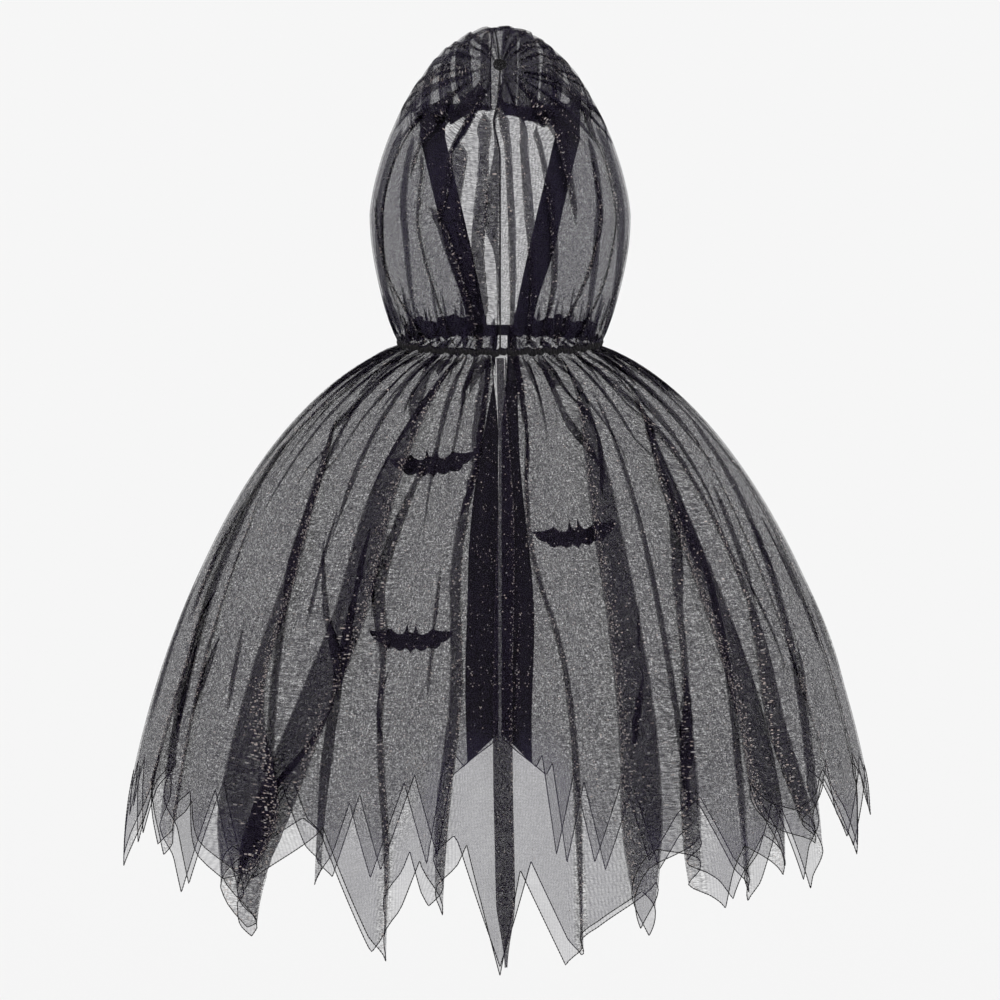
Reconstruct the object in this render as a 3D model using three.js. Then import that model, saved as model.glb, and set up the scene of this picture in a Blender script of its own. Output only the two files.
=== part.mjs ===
// A child's hooded costume cape of sheer organza, in the shape it has when it is worn.
//
// Millimetres, +Z up. The origin is the middle of the neck opening at the neck seam's height, where the
// wearer's neck passes. The wearer faces +Y and the wearer's right is +X. Each cloth is a thin closed
// shell that follows one smooth surface: the body flares down from the neck seam, the hood rises from it.

import * as THREE from "three";

// ---- Driving sizes ----
const NECK_HALF_WIDTH = 95;
const NECK_HALF_DEPTH = 78;
const SEAM_HALF_HEIGHT = 3; // the gathered neck seam is a band this far above and below z = 0
const SEAM_THICKNESS = 3;
const SEAM_GAP = 2.2; // cloth stops this far from the neck seam
const CLOTH_START = SEAM_HALF_HEIGHT + SEAM_GAP; // how far above or below z = 0 the cloth begins

const CLOTH_THICKNESS = 1.2;
const LAYER_OFFSET = 3; // outer cloth lies this far outside the common surface, inner cloth inside it
const SEAMED_SHARE = 0.35; // of those offsets, where all cloths come together at the neck seam
const SEAMED_WITHIN = 40; // and they reach their full offsets this far from it
const FACING_OFFSET = -8; // the facings lie inside the inner cloth
const FACING_WIDTH = 25;
const CENTRE_GAP = 4; // half the strip left free along the centre back for its seam
const FRONT_HALF_GAP = 7.5; // half the gap between the two front edges
const SIDE_GAP = 1.2; // half the gap between a back panel and a front panel, at the side

// ---- Directions: an angle is measured round the neck from the centre back ----
const SIDE = 90;
const RIGHT = 1;
const LEFT = -1;
const SIDES = [["right", RIGHT], ["left", LEFT]];
const radians = THREE.MathUtils.degToRad;

// ---- Body: how far it stands out, by how far below the neck seam ----
const SHOULDER_SPREAD = 17;
const SHOULDER_LEAD = 10;
const HEM_PULL_IN = 0.00026;
const DEPTH_SHARE = 0.44; // how much of each sideways millimetre the body also gains front to back

function bodyHalfWidth(drop) {
  const fall = Math.max(drop - CLOTH_START, 0);
  const flare = SHOULDER_SPREAD * (Math.sqrt(fall + SHOULDER_LEAD) - Math.sqrt(SHOULDER_LEAD));
  return NECK_HALF_WIDTH + flare - HEM_PULL_IN * fall * fall;
}

function bodyHalfDepth(drop) {
  return NECK_HALF_DEPTH + DEPTH_SHARE * (bodyHalfWidth(drop) - NECK_HALF_WIDTH);
}

function bodyPoint(degrees, drop, side) {
  const angle = radians(degrees);
  const x = side * bodyHalfWidth(drop) * Math.sin(angle);
  const y = -bodyHalfDepth(drop) * Math.cos(angle);
  return new THREE.Vector3(x, y, -drop);
}

// The angle at which the body is this far from the centre plane, near the back or near the front.
function angleFromBack(distance, drop) {
  return THREE.MathUtils.radToDeg(Math.asin(distance / bodyHalfWidth(drop)));
}

function angleFromFront(distance, drop) {
  return 180 - angleFromBack(distance, drop);
}

// ---- Hood: how far it stands out, by its height above the neck seam ----
const HOOD_HEIGHT = 294;
const HOOD_WIDEST_AT = 120;
const HOOD_HALF_WIDTH = 120;
const HOOD_ROUNDNESS = 1.45; // exponent of the egg-shaped top
const HOOD_NECK_BULGE = 0.85;
const HOOD_DEPTH_SHARE = 0.98; // half depth over half width, where the hood is widest
const HOOD_SET_BACK = 10; // the hood's middle lies this far behind the neck's, where it is widest
const FACE_BOTTOM_HALF_WIDTH = 11;
const FACE_TOP_HALF_WIDTH = 55;
const FACE_ARCH_AT = 188; // the face opening widens up to this height
const FACE_TOP_AT = 220; // and closes at this height, in a round arch

function hoodHalfWidth(height) {
  if (height < HOOD_WIDEST_AT) {
    const rise = Math.sin((Math.PI / 2) * (height / HOOD_WIDEST_AT)) ** HOOD_NECK_BULGE;
    return NECK_HALF_WIDTH + (HOOD_HALF_WIDTH - NECK_HALF_WIDTH) * rise;
  }
  const climb = (height - HOOD_WIDEST_AT) / (HOOD_HEIGHT - HOOD_WIDEST_AT);
  return HOOD_HALF_WIDTH * Math.sqrt(1 - climb ** HOOD_ROUNDNESS);
}

function hoodPoint(degrees, height, side) {
  const angle = radians(degrees);
  const rise = THREE.MathUtils.smoothstep(height, 0, HOOD_WIDEST_AT);
  const neckShare = NECK_HALF_DEPTH / NECK_HALF_WIDTH;
  const halfWidth = hoodHalfWidth(height);
  const halfDepth = halfWidth * THREE.MathUtils.lerp(neckShare, HOOD_DEPTH_SHARE, rise);
  const middle = -HOOD_SET_BACK * Math.sin((Math.PI * height) / HOOD_HEIGHT);
  return new THREE.Vector3(
    side * halfWidth * Math.sin(angle),
    middle - halfDepth * Math.cos(angle),
    height,
  );
}

function faceHalfWidth(height) {
  if (height >= FACE_TOP_AT) {
    return CENTRE_GAP;
  }
  if (height > FACE_ARCH_AT) {
    const climb = (height - FACE_ARCH_AT) / (FACE_TOP_AT - FACE_ARCH_AT);
    return CENTRE_GAP + (FACE_TOP_HALF_WIDTH - CENTRE_GAP) * Math.sqrt(1 - climb * climb);
  }
  return THREE.MathUtils.lerp(FACE_BOTTOM_HALF_WIDTH, FACE_TOP_HALF_WIDTH, height / FACE_ARCH_AT);
}

function hoodAngle(distance, height) {
  const share = Math.min(distance / hoodHalfWidth(height), 1);
  return THREE.MathUtils.radToDeg(Math.asin(share));
}

// ---- Hem: points of the zigzag as [angle from the centre back, drop], tips and valleys in turn ----
const BACK_HEM = {
  right: [
    [0, 564], [3, 466], [9.5, 555], [17, 490], [21.5, 531], [28, 450], [35, 508],
    [38, 452], [42, 484], [48, 396], [55, 458], [61, 391], [68, 474], [77, 391], [SIDE, 450],
  ],
  left: [
    [0, 564], [5, 443], [9.5, 508], [12, 458], [17.5, 552], [28, 432], [41, 536],
    [46, 454], [51, 492], [56, 417], [63.5, 471], [70, 384], [78, 490], [84, 404], [SIDE, 450],
  ],
};
const FRONT_HEM = {
  right: [
    [SIDE, 450], [98, 407], [110, 492], [117, 430], [125, 543], [131, 468], [138, 562],
    [147, 462], [155, 536], [159, 455], [164, 540], [167, 452], [170, 533], [172, 434], [173, 446],
  ],
  left: [
    [SIDE, 450], [97, 407], [106, 487], [113, 420], [122.5, 545], [129, 447], [136, 545],
    [144, 452], [152, 551], [156, 470], [160, 546], [165, 452], [169, 534], [171.5, 434], [173, 446],
  ],
};
const FRONT_EDGE_DROP = 410; // the front edges end here, above the facing's slanted tip

// The inner cloth has the same zigzag, turned a little round the body and a little shorter.
const INNER_SHORTER = 8;
const INNER_TURN = 1.6; // degrees

function innerHem(outerHem) {
  return outerHem.map(([angle, drop], index) => {
    const isEnd = index === 0 || index === outerHem.length - 1;
    return [isEnd ? angle : angle + INNER_TURN, drop - INNER_SHORTER];
  });
}

// ---- Closed shells from surfaces ----

function spread(height) {
  const share = THREE.MathUtils.smoothstep(Math.abs(height), CLOTH_START, SEAMED_WITHIN);
  return THREE.MathUtils.lerp(SEAMED_SHARE, 1, share);
}

// surface(u, v) gives a point for u across and v along. The grid stops at the given shares of each.
// Every shell is one closed body: two skins half a thickness either side, and a wall round the edge.
function shell(surface, across, along, thickness, offset = 0) {
  const positions = [];
  const columns = across.length;
  const step = 1e-3;
  const normalAt = (u, v) => {
    const uLow = Math.max(u - step, 0);
    const vLow = Math.max(v - step, 0);
    const acrossStep = surface(Math.min(u + step, 1), v).sub(surface(uLow, v));
    const alongStep = surface(u, Math.min(v + step, 1)).sub(surface(u, vLow));
    return acrossStep.cross(alongStep).normalize();
  };
  for (const half of [0.5, -0.5]) {
    for (const v of along) {
      for (const u of across) {
        const point = surface(u, v);
        const normal = normalAt(u, v);
        const outward = normal.x * point.x + normal.y * point.y >= 0 ? 1 : -1;
        point.addScaledVector(normal, outward * offset * spread(point.z) + half * thickness);
        positions.push(point.x, point.y, point.z);
      }
    }
  }
  return closedGrid(positions, columns, along.length);
}

function closedGrid(positions, columns, rows) {
  const lower = columns * rows;
  const at = (column, row) => row * columns + column;
  const indices = [];
  const quad = (a, b, c, d) => indices.push(a, b, c, a, c, d);
  for (let row = 0; row < rows - 1; row += 1) {
    for (let column = 0; column < columns - 1; column += 1) {
      const corners = [at(column, row), at(column + 1, row), at(column + 1, row + 1), at(column, row + 1)];
      quad(...corners);
      quad(...corners.reverse().map((corner) => corner + lower));
    }
  }
  const rim = [];
  for (let column = 0; column < columns - 1; column += 1) {
    rim.push([at(column, 0), at(column + 1, 0)]);
    rim.push([at(column + 1, rows - 1), at(column, rows - 1)]);
  }
  for (let row = 0; row < rows - 1; row += 1) {
    rim.push([at(columns - 1, row), at(columns - 1, row + 1)]);
    rim.push([at(0, row + 1), at(0, row)]);
  }
  rim.forEach(([from, to]) => quad(from, from + lower, to + lower, to));
  const geometry = new THREE.BufferGeometry();
  geometry.setAttribute("position", new THREE.Float32BufferAttribute(positions, 3));
  geometry.setIndex(indices);
  geometry.computeVertexNormals();
  return geometry;
}

function evenShares(count) {
  return Array.from({ length: count + 1 }, (_, index) => index / count);
}

// ---- Materials ----
const FINISHES = {
  outer_organza: { color: 0x4a474e, roughness: 0.55, metalness: 0.15 },
  inner_organza: { color: 0x3b393f, roughness: 0.6, metalness: 0.1 },
  facing_satin: { color: 0x0d0d0e, roughness: 0.5, metalness: 0 },
  seam_thread: { color: 0x17161a, roughness: 0.8, metalness: 0 },
  bat_felt: { color: 0x101011, roughness: 0.9, metalness: 0 },
  label_satin: { color: 0x8d8b90, roughness: 0.5, metalness: 0 },
  closure_tape: { color: 0x121214, roughness: 0.95, metalness: 0 },
};
const cape = new THREE.Group();

function add(name, geometry, finish) {
  const mesh = new THREE.Mesh(geometry, new THREE.MeshStandardMaterial(FINISHES[finish]));
  mesh.name = name;
  cape.add(mesh);
  return mesh;
}

// ---- Body panels ----
const BODY_ROWS = [CLOTH_START, 10, 22, 42, 75, 130, 220, 340]; // drops above the lowest, zigzag row

function hemDrop(hem, angle) {
  const next = hem.findIndex(([tipAngle]) => tipAngle >= angle);
  if (next <= 0) {
    return next === 0 ? hem[0][1] : hem.at(-1)[1];
  }
  const [lowAngle, lowDrop] = hem[next - 1];
  const [highAngle, highDrop] = hem[next];
  return THREE.MathUtils.mapLinear(angle, lowAngle, highAngle, lowDrop, highDrop);
}

// Columns stand at every tip and valley, and half-way between them where those are far apart.
const WIDEST_COLUMN = 8; // degrees

function hemColumns(hem) {
  const angles = [hem[0][0]];
  for (const [angle] of hem.slice(1)) {
    const last = angles.at(-1);
    if (angle - last > WIDEST_COLUMN) {
      angles.push((angle + last) / 2);
    }
    angles.push(angle);
  }
  return angles;
}

function bodyShell(hem, side, edgeAngles, offset) {
  const angles = hemColumns(hem);
  const first = angles[0];
  const span = angles.at(-1) - first;
  const rows = BODY_ROWS.length;
  const surface = (u, v) => {
    const nominal = first + u * span;
    const bottom = hemDrop(hem, nominal);
    const place = v * rows;
    const row = Math.min(Math.floor(place), rows - 1);
    const below = row + 1 < rows ? BODY_ROWS[row + 1] : bottom;
    const drop = THREE.MathUtils.lerp(BODY_ROWS[row], below, place - row);
    const [from, to] = edgeAngles(drop);
    return bodyPoint(THREE.MathUtils.lerp(from, to, u), drop, side);
  };
  const across = angles.map((angle) => (angle - first) / span);
  return shell(surface, across, evenShares(rows), CLOTH_THICKNESS, offset);
}

function sideAngle(gap, drop) {
  return THREE.MathUtils.radToDeg(gap / bodyHalfDepth(drop));
}

function addBodyPanels() {
  const backEdges = (drop) => [angleFromBack(CENTRE_GAP, drop), SIDE - sideAngle(SIDE_GAP, drop)];
  const frontEdges = (drop) => [SIDE + sideAngle(SIDE_GAP, drop), angleFromFront(FRONT_HALF_GAP, drop)];
  for (const [name, side] of SIDES) {
    const frontHem = [...FRONT_HEM[name], [180, FRONT_EDGE_DROP]];
    const layers = [
      ["outer", BACK_HEM[name], frontHem, LAYER_OFFSET],
      ["inner", innerHem(BACK_HEM[name]), innerHem(frontHem), -LAYER_OFFSET],
    ];
    for (const [layer, backHem, frontLayerHem, offset] of layers) {
      const finish = `${layer}_organza`;
      add(`back_panel_${layer}_${name}`, bodyShell(backHem, side, backEdges, offset), finish);
      add(`front_panel_${layer}_${name}`, bodyShell(frontLayerHem, side, frontEdges, offset), finish);
    }
  }
}

// An opaque facing stiffens each front edge, down to a slanted lower end.
const FACING_TIP_DROP = 440;

function addFrontFacings() {
  for (const [name, side] of SIDES) {
    const surface = (u, v) => {
      const distance = FRONT_HALF_GAP + u * FACING_WIDTH;
      const bottom = THREE.MathUtils.lerp(FRONT_EDGE_DROP, FACING_TIP_DROP, u) - INNER_SHORTER;
      const drop = THREE.MathUtils.lerp(CLOTH_START, bottom, v * v);
      return bodyPoint(angleFromFront(distance, drop), drop, side);
    };
    const facing = shell(surface, evenShares(2), evenShares(12), CLOTH_THICKNESS, FACING_OFFSET);
    add(`front_facing_${name}`, facing, "facing_satin");
  }
}

// ---- Seams ----
const SEAM_STRIP_HALF_WIDTH = 3;
const SEAM_STRIP_THICKNESS = 2;
const BACK_SEAM_END = 530;

function addCentreBackSeam() {
  const surface = (u, v) => {
    const drop = THREE.MathUtils.lerp(CLOTH_START, BACK_SEAM_END, v * v);
    const y = -bodyHalfDepth(drop);
    return new THREE.Vector3((u * 2 - 1) * SEAM_STRIP_HALF_WIDTH, y, -drop);
  };
  add("center_back_seam", shell(surface, [0, 1], evenShares(14), SEAM_STRIP_THICKNESS), "seam_thread");
}

function neckBand(fromAngle, toAngle, side) {
  const surface = (u, v) => {
    const angle = radians(THREE.MathUtils.lerp(fromAngle, toAngle, u));
    const x = side * NECK_HALF_WIDTH * Math.sin(angle);
    const y = -NECK_HALF_DEPTH * Math.cos(angle);
    return new THREE.Vector3(x, y, THREE.MathUtils.lerp(-SEAM_HALF_HEIGHT, SEAM_HALF_HEIGHT, v));
  };
  return shell(surface, evenShares(14), [0, 1], SEAM_THICKNESS);
}

const BAND_SPLIT = 0.4; // degrees left free either side of a split in the neck band

function addNeckBand() {
  add("neck_band_back", neckBand(-SIDE + BAND_SPLIT, SIDE - BAND_SPLIT, RIGHT), "seam_thread");
  const frontEnd = 180 - THREE.MathUtils.radToDeg(FRONT_HALF_GAP / NECK_HALF_WIDTH);
  for (const [name, side] of SIDES) {
    add(`neck_band_front_${name}`, neckBand(SIDE + BAND_SPLIT, frontEnd, side), "seam_thread");
  }
}

// ---- Hood ----
const HOOD_CLOTH_END = 293.5; // the two halves meet here in a small ring, at the very top
const FACING_ROWS = [CLOTH_START, 22, 45, 85, 125, 160, FACE_ARCH_AT];
const HOOD_ROWS = [...FACING_ROWS, 201, 211, 217, FACE_TOP_AT, 245, 268, 281, 289, HOOD_CLOTH_END];
const HOOD_COLUMNS = 13;

function rowHeight(heights, share) {
  const place = share * (heights.length - 1);
  const row = Math.min(Math.floor(place), heights.length - 2);
  return THREE.MathUtils.lerp(heights[row], heights[row + 1], place - row);
}

function addHoodPanels() {
  const layers = [["outer", LAYER_OFFSET], ["inner", -LAYER_OFFSET]];
  for (const [name, side] of SIDES) {
    const surface = (u, v) => {
      const height = rowHeight(HOOD_ROWS, v);
      const from = hoodAngle(CENTRE_GAP, height);
      const to = 180 - hoodAngle(faceHalfWidth(height), height);
      return hoodPoint(THREE.MathUtils.lerp(from, to, u), height, side);
    };
    for (const [layer, offset] of layers) {
      const cloth = shell(
        surface,
        evenShares(HOOD_COLUMNS),
        evenShares(HOOD_ROWS.length - 1),
        CLOTH_THICKNESS,
        offset,
      );
      add(`hood_${layer}_${name}`, cloth, `${layer}_organza`);
    }
  }
}

// An opaque facing runs up each side of the face opening, from the neck seam to the start of its arch.
function addHoodFacings() {
  for (const [name, side] of SIDES) {
    const surface = (u, v) => {
      const height = rowHeight(FACING_ROWS, v);
      const distance = faceHalfWidth(height) + u * FACING_WIDTH;
      return hoodPoint(180 - hoodAngle(distance, height), height, side);
    };
    const rows = evenShares(FACING_ROWS.length - 1);
    const facing = shell(surface, evenShares(2), rows, CLOTH_THICKNESS, FACING_OFFSET);
    add(`hood_facing_${name}`, facing, "facing_satin");
  }
}

function addHoodSeams() {
  const strip = (angle, fromHeight) => {
    const surface = (u, v) => {
      const height = THREE.MathUtils.lerp(fromHeight, HOOD_CLOTH_END, v);
      const point = hoodPoint(angle, height, RIGHT);
      return point.setX((u * 2 - 1) * SEAM_STRIP_HALF_WIDTH);
    };
    return shell(surface, [0, 1], evenShares(10), SEAM_STRIP_THICKNESS);
  };
  add("hood_back_seam", strip(0, CLOTH_START), "seam_thread");
  add("hood_front_seam", strip(180, FACE_TOP_AT), "seam_thread");
}

// The hood's cloth is drawn together high up on the back, under a small knot of stitches.
const GATHER_HEIGHT = 262;
const GATHER_RADIUS = 7;
const GATHER_THICKNESS = 4;
const GATHER_STAND_OFF = 5; // clears the outer cloth

function addCrownGather() {
  const profile = [
    new THREE.Vector2(0, 0),
    new THREE.Vector2(GATHER_RADIUS, 0),
    new THREE.Vector2(GATHER_RADIUS * 0.8, GATHER_THICKNESS * 0.7),
    new THREE.Vector2(0, GATHER_THICKNESS),
  ];
  const knot = new THREE.LatheGeometry(profile, 16);
  const centre = hoodPoint(0, GATHER_HEIGHT, RIGHT);
  const upward = hoodPoint(0, GATHER_HEIGHT + 1, RIGHT).sub(centre);
  const outward = new THREE.Vector3(0, -upward.z, upward.y).normalize();
  knot.applyQuaternion(new THREE.Quaternion().setFromUnitVectors(new THREE.Vector3(0, 1, 0), outward));
  centre.addScaledVector(outward, GATHER_STAND_OFF);
  knot.translate(centre.x, centre.y, centre.z);
  add("crown_gather", knot, "seam_thread");
}

// ---- Bats: thin dark shapes fixed to the outside of the front panels ----
const BAT_SPAN = 80;
const BAT_THICKNESS = 0.8;
const BAT_STAND_OFF = 5;
const BATS = [
  { name: "bat_upper_left", x: -64, drop: 135, tilt: 4 },
  { name: "bat_right", x: 72, drop: 206, tilt: 10 },
  { name: "bat_lower_left", x: -85, drop: 310, tilt: -2 },
];

// One half of a plain flying bat, in shares of its span: ear, shoulder, wing top, wing tip and two scallops.
function batShape() {
  const shape = new THREE.Shape();
  const half = [
    [0.03, 0.1], [0.05, 0.17], [0.085, 0.09], [0.13, 0.08], [0.24, 0.19], [0.5, 0.15],
    [0.43, 0.02], [0.36, -0.05], [0.28, -0.06], [0.2, -0.12], [0.11, -0.1],
  ];
  const points = [
    ...half.map(([x, y]) => new THREE.Vector2(x, y)),
    new THREE.Vector2(0, -0.2),
    ...half.reverse().map(([x, y]) => new THREE.Vector2(-x, y)),
  ];
  shape.setFromPoints(points.map((point) => point.multiplyScalar(BAT_SPAN)));
  return shape;
}

function addBats() {
  for (const { name, x, drop, tilt } of BATS) {
    const side = Math.sign(x);
    const angle = angleFromFront(Math.abs(x), drop);
    const centre = bodyPoint(angle, drop, side);
    const across = bodyPoint(angle + 1, drop, side).sub(centre);
    const down = bodyPoint(angle, drop + 1, side).sub(centre);
    const outward = across.clone().cross(down).normalize();
    if (outward.y < 0) {
      outward.negate();
    }
    const up = down.negate().normalize();
    const right = up.clone().cross(outward).normalize();
    const bat = new THREE.ExtrudeGeometry(batShape(), { depth: BAT_THICKNESS, bevelEnabled: false });
    bat.rotateZ(radians(tilt));
    bat.applyMatrix4(new THREE.Matrix4().makeBasis(right, up, outward));
    centre.addScaledVector(outward, BAT_STAND_OFF);
    bat.translate(centre.x, centre.y, centre.z);
    add(name, bat, "bat_felt");
  }
}

// ---- Small parts at the neck ----
const LABEL = { width: 10, height: 26, thickness: 0.6, x: 13 };
const LABEL_TOP = -1; // height of its sewn edge
const LABEL_CLEARANCE = 4; // between the neck band and the label hanging inside it

function plate(width, depth, height, x, y, z) {
  const box = new THREE.BoxGeometry(width, depth, height);
  box.translate(x, y, z);
  return box;
}

function addLabel() {
  const y = -NECK_HALF_DEPTH + SEAM_THICKNESS / 2 + LABEL_CLEARANCE;
  const z = LABEL_TOP - LABEL.height / 2;
  add("neck_label", plate(LABEL.width, LABEL.thickness, LABEL.height, LABEL.x, y, z), "label_satin");
}

// The throat closes with a hook-and-loop tab that crosses from the right front to the left front.
const TAB = { height: 10, thickness: 1.4, from: 20, to: -23, y: 86.6, z: 1.2 };
const PATCH = { width: 13, height: 7, thickness: 0.8 };
const PATCH_GAP = 0.4;

function addClosure() {
  const tabMiddle = (TAB.from + TAB.to) / 2;
  const tab = plate(TAB.from - TAB.to, TAB.thickness, TAB.height, tabMiddle, TAB.y, TAB.z);
  add("closure_tab", tab, "closure_tape");
  const patchX = TAB.to + PATCH.width / 2 + 1;
  const hookY = TAB.y - (TAB.thickness + PATCH.thickness) / 2 - PATCH_GAP;
  const loopY = hookY - PATCH.thickness - PATCH_GAP;
  for (const [name, y] of [["closure_hook_patch", hookY], ["closure_loop_patch", loopY]]) {
    add(name, plate(PATCH.width, PATCH.thickness, PATCH.height, patchX, y, 0), "closure_tape");
  }
}

addBodyPanels();
addFrontFacings();
addCentreBackSeam();
addNeckBand();
addHoodPanels();
addHoodFacings();
addHoodSeams();
addCrownGather();
addBats();
addLabel();
addClosure();

export default cape;
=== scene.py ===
"""A child's hooded costume cape of sheer glitter organza, seen from behind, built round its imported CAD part.

Shapes are worked out in millimetres, as on a sewing pattern, and MM turns them into Blender's metres.
The wearer faces +Y and the wearer's right is +X. An angle is measured in degrees round the neck from the
centre back, 0, over the side, 90, to the centre front, 180. A drop is a depth below the neck seam.
"""

import math
from collections import namedtuple

import bmesh
import bpy
import numpy as np
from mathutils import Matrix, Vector
from numpy import cos, linspace, maximum, pi, radians, sin


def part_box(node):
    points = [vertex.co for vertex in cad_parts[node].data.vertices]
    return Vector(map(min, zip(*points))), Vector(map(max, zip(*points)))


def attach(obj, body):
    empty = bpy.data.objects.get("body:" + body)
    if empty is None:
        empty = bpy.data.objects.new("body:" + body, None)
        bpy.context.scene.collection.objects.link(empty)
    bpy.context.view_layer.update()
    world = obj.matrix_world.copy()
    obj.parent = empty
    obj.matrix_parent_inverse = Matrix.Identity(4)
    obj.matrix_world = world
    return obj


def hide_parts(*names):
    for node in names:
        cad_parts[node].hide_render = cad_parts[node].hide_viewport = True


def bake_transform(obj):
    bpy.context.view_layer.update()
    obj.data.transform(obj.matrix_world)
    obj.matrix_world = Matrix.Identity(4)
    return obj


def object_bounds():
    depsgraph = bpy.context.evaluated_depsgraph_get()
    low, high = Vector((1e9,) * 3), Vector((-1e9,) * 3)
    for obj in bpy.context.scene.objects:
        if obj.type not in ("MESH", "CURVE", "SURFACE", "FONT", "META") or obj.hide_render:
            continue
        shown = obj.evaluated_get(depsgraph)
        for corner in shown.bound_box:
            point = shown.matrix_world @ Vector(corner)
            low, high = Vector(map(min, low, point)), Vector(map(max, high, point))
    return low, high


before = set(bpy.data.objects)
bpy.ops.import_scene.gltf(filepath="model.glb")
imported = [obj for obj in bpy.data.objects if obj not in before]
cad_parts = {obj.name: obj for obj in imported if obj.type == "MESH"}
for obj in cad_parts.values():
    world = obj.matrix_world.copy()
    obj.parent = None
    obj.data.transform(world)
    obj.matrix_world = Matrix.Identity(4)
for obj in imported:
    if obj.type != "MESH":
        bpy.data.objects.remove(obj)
cad_low, cad_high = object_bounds()

MM = 0.001
LEFT, RIGHT = -1, 1
SIDES = {"left": LEFT, "right": RIGHT}


def box_mm(node):
    low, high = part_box(node)
    return np.array(low) / MM, np.array(high) / MM


# ---- sizes

SEAM_THICKNESS = 3
band_low, band_high = box_mm("neck_band_back")
NECK_HALF_WIDTH = band_high[0] - SEAM_THICKNESS / 2
NECK_HALF_DEPTH = -band_low[1] - SEAM_THICKNESS / 2
CLOTH_START = 5.2  # where the CAD cloth begins, above and below the neck seam
CLOTH_EDGE = 0.8  # where it begins here, inside the seam
HELD_UNTIL = 12  # the folds are at full depth this far from the seam
LAYER_OFFSET = 0.8  # half the space between the outer and the inner cloth
SEAMED_SHARE = 0.3  # how much of that space is left at the seam
SEAMED_WITHIN = 40  # and how far from it all of the space is there
CENTRE_GAP = 0.1  # half the gap between the two halves where they are sewn together
FRONT_HALF_GAP = 7.5
FRONT_MEETS = 2.2  # half the gap between the front edges lower down, where they swing together
FACING_WIDTH = 25
FACING_INSIDE = 6.5  # how far inside the middle of the two cloths a facing lies

# The body's flare and the hood's egg shape, as in the CAD part.
SHOULDER_SPREAD = 17
SHOULDER_LEAD = 10
HEM_PULL_IN = 0.00026
DEPTH_SHARE = 0.44
HOOD_HEIGHT = 294
HOOD_WIDEST_AT = 120
HOOD_HALF_WIDTH = 120
HOOD_ROUNDNESS = 1.45
HOOD_NECK_BULGE = 0.85
HOOD_DEPTH_SHARE = 0.98
HOOD_SET_BACK = 10
HOOD_CLOTH_END = 293.99  # the two halves meet over the crown
FACE_BOTTOM_HALF_WIDTH = 11
FACE_TOP_HALF_WIDTH = 55
FACE_ARCH_AT = 188
FACE_TOP_AT = 220


# ---- curves


def smoothstep(x, low, high):
    t = np.clip((np.asarray(x, float) - low) / (high - low), 0, 1)
    return t * t * (3 - 2 * t)


def between(x, start, full, waning, end):
    """Rises from 0 to 1 from start to full, and falls back to 0 from waning to end."""
    return smoothstep(x, start, full) * (1 - smoothstep(x, waning, end))


def mix(a, b, share):
    return a + (b - a) * share


def unit(vectors):
    return vectors / maximum(np.linalg.norm(vectors, axis=-1, keepdims=True), 1e-9)


def length_along(points):
    """How far along a line each of its points is."""
    return np.concatenate([[0], np.cumsum(np.linalg.norm(np.diff(points, axis=0), axis=1))])


def body_half_width(drop):
    fall = maximum(drop - CLOTH_START, 0)
    flare = SHOULDER_SPREAD * (np.sqrt(fall + SHOULDER_LEAD) - math.sqrt(SHOULDER_LEAD))
    return NECK_HALF_WIDTH + flare - HEM_PULL_IN * fall**2


def body_half_depth(drop):
    return NECK_HALF_DEPTH + DEPTH_SHARE * (body_half_width(drop) - NECK_HALF_WIDTH)


def body_point(degrees, drop, side):
    angle = radians(degrees)
    x = side * body_half_width(drop) * sin(angle)
    y = -body_half_depth(drop) * cos(angle)
    return np.stack([x, y, -drop + 0 * x], axis=-1)


def hood_half_width(height):
    height = np.asarray(height, float)
    low = np.clip(height / HOOD_WIDEST_AT, 0, 1)
    bulge = sin(pi / 2 * low) ** HOOD_NECK_BULGE
    lower = NECK_HALF_WIDTH + (HOOD_HALF_WIDTH - NECK_HALF_WIDTH) * bulge
    climb = np.clip((height - HOOD_WIDEST_AT) / (HOOD_HEIGHT - HOOD_WIDEST_AT), 0, 1)
    upper = HOOD_HALF_WIDTH * np.sqrt(1 - climb**HOOD_ROUNDNESS)
    return np.where(height < HOOD_WIDEST_AT, lower, upper)


def hood_section(height):
    """The hood's depth as a share of its width, and the y of its middle, at a height."""
    share = mix(NECK_HALF_DEPTH / NECK_HALF_WIDTH, HOOD_DEPTH_SHARE, smoothstep(height, 0, HOOD_WIDEST_AT))
    return share, -HOOD_SET_BACK * sin(pi * np.asarray(height) / HOOD_HEIGHT)


def hood_point(degrees, height, side):
    angle = radians(degrees)
    half_width = hood_half_width(height)
    share, middle = hood_section(height)
    x = side * half_width * sin(angle)
    y = middle - half_width * share * cos(angle)
    return np.stack([x, y, height + 0 * x], axis=-1)


def on_hood(points):
    """The nearest place on the hood's egg at the same height."""
    height = np.clip(points[..., 2], 0, HOOD_CLOTH_END)
    share, middle = hood_section(height)
    degrees = np.degrees(np.arctan2(points[..., 0], (middle - points[..., 1]) / share))
    return hood_point(degrees, height, RIGHT)


def face_half_width(height):
    height = np.asarray(height, float)
    straight = mix(FACE_BOTTOM_HALF_WIDTH, FACE_TOP_HALF_WIDTH, height / FACE_ARCH_AT)
    climb = np.clip((height - FACE_ARCH_AT) / (FACE_TOP_AT - FACE_ARCH_AT), 0, 1)
    arch = CENTRE_GAP + (FACE_TOP_HALF_WIDTH - CENTRE_GAP) * np.sqrt(1 - climb**2)
    return np.where(height > FACE_ARCH_AT, arch, straight)


def angle_of(distance, half_width):
    return np.degrees(np.arcsin(np.clip(distance / half_width, -1, 1)))


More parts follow.
